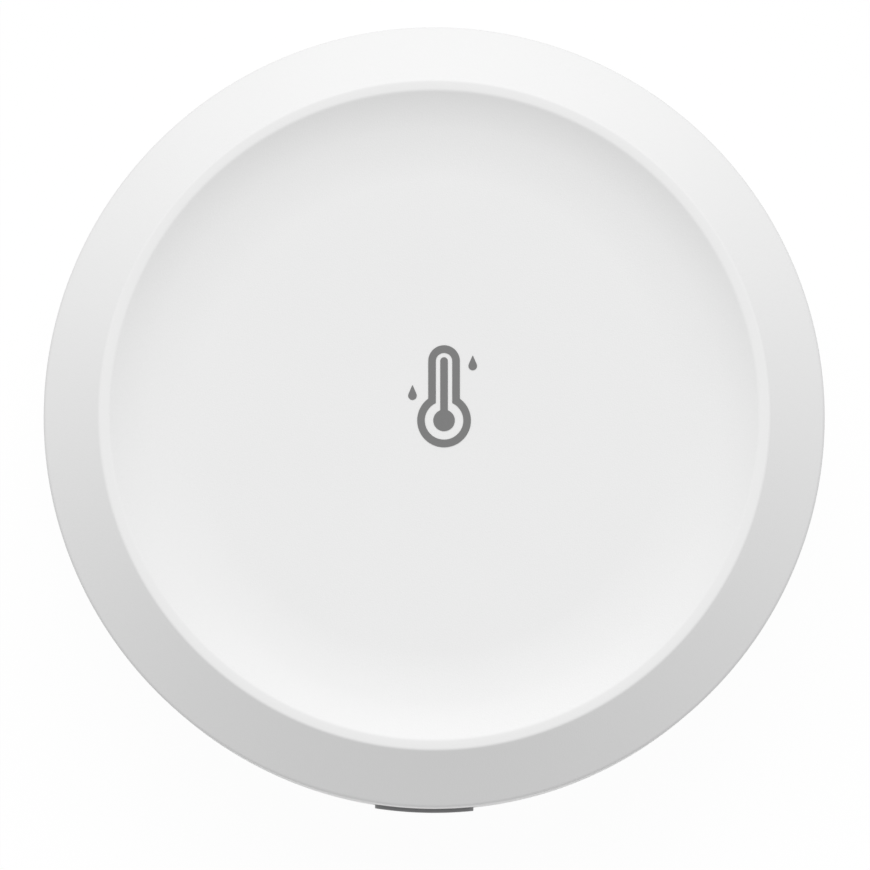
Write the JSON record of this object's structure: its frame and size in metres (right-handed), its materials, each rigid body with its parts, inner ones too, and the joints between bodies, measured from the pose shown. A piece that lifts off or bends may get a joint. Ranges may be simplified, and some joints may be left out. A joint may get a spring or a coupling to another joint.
{
  "type": "temperature humidity sensor",
  "caption": "Round white room sensor with a bevelled, dished face and a thermometer symbol; a side key presses a switch, and the housing twists off its stick-on rear cover.",
  "frame": {"origin": "middle of the adhesive disc's outer face, where the sensor meets the wall", "axes": "+Z out of the face along the housing's axis, +Y towards the top of the symbol, +X to the right; the key is at -Y"},
  "size_m": [0.062, 0.0623, 0.0233],
  "materials": {
    "white_shell": "fine satin, moulded",
    "grey_ink": "pad-printed ink",
    "white_cover": "fine satin, moulded",
    "adhesive": "soft acrylic, slightly tacky",
    "white_tray": "plain moulded",
    "cell_jacket": "printed foil jacket",
    "plated_spring_steel": "bright nickel plating",
    "green_board": "solder mask over glass epoxy",
    "black_resin": "moulded resin",
    "shield_sheet": "tinned sheet",
    "capacitor_can": "drawn can",
    "tan_ceramic": "fired ceramic",
    "led_resin": "clear resin over a white frame",
    "clear_plastic": "clear polycarbonate",
    "dark_plastic": "plain moulded",
    "grey_key": "fine satin, moulded",
    "zinc_steel": "zinc plating"
  },
  "bodies": {
    "base": {"rear_cover": "white_cover", "adhesive_disc": "adhesive"},
    "housing": {"front_shell": "white_shell", "symbol_print": "grey_ink", "battery_tray": "white_tray", "upper_cell": "cell_jacket", "lower_cell": "cell_jacket", "bridge_contact": "plated_spring_steel", "negative_contact": "plated_spring_steel", "positive_contact": "plated_spring_steel", "circuit_board": "green_board", "radio_board": "green_board", "radio_chip": "black_resin", "radio_shield": "shield_sheet", "humidity_sensor": "black_resin", "supply_capacitor": "capacitor_can", "power_chip": "black_resin", "chip_parts": "tan_ceramic", "status_led": "led_resin", "light_guide": "clear_plastic", "key_switch": "black_resin", "case_screws": "zinc_steel"},
    "key": {"pairing_key": "grey_key", "switch_plunger": "dark_plastic"}
  },
  "joints": [
    {"name": "body_twist", "type": "hinge", "parent": "base", "child": "housing", "pos_m": [0, 0, 0], "axis": [0, 0, 1], "range_deg": [0, 20]},
    {"name": "key_press", "type": "slide", "parent": "housing", "child": "key", "axis": [0, 1, 0], "range_m": [0, 0.0004], "stiffness_N_per_m": 4000}
  ]
}
